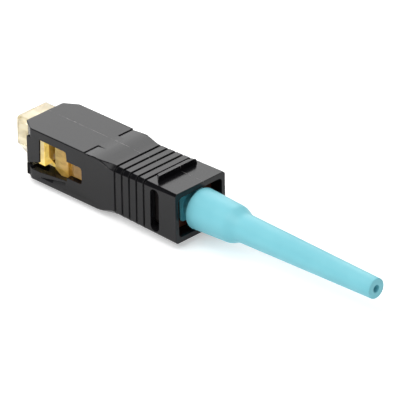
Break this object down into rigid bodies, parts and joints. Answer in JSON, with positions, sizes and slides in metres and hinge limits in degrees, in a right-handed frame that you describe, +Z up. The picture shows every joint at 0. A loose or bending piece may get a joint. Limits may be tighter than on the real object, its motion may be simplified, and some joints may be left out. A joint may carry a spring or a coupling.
{
  "type": "sc fibre connector",
  "caption": "Field-terminated push-pull fibre connector: ribbed black sliding shell over a clear amber plug frame, sprung ceramic ferrule with splice inside, and a tapered aqua boot.",
  "frame": {"origin": "on the ferrule's axis, in the plane of the plug frame's nose face", "axes": "+X along the fibre from the mating end to the boot, +Z up, the shell's key is on the underside"},
  "size_m": [0.0627, 0.009, 0.0088],
  "materials": {
    "black_shell": "satin moulded",
    "amber_frame": "clear moulded",
    "amber_backbone": "moulded",
    "ferrule_ceramic": "polished",
    "fibre_silica": "polished",
    "pale_resin": "moulded",
    "splice_resin": "moulded",
    "spring_steel": "drawn wire",
    "crimp_metal": "drawn tube",
    "aqua_boot": "satin moulded"
  },
  "bodies": {
    "frame": {"plug_frame": "amber_frame", "backbone": "amber_backbone", "boot": "aqua_boot", "float_spring": "spring_steel"},
    "shell": {"outer_shell": "black_shell"},
    "float": {"ferrule": "ferrule_ceramic", "fibre_stub": "fibre_silica", "ferrule_holder": "pale_resin", "splice_plank_upper": "splice_resin", "splice_plank_lower": "splice_resin", "crimp_tube": "crimp_metal", "lead_in_tube": "splice_resin"},
    "cam": {"splice_cam": "pale_resin"}
  },
  "joints": [
    {"name": "shell_slide", "type": "slide", "parent": "frame", "child": "shell", "axis": [1, 0, 0], "range_m": [0, 0.0015]},
    {"name": "ferrule_float", "type": "slide", "parent": "frame", "child": "float", "axis": [1, 0, 0], "range_m": [0, 0.0012], "stiffness_N_per_m": 2500, "deforming": ["float_spring"]},
    {"name": "cam_turn", "type": "hinge", "parent": "float", "child": "cam", "pos_m": [0.0166, 0, 0], "axis": [1, 0, 0], "range_deg": [0, 90]}
  ]
}
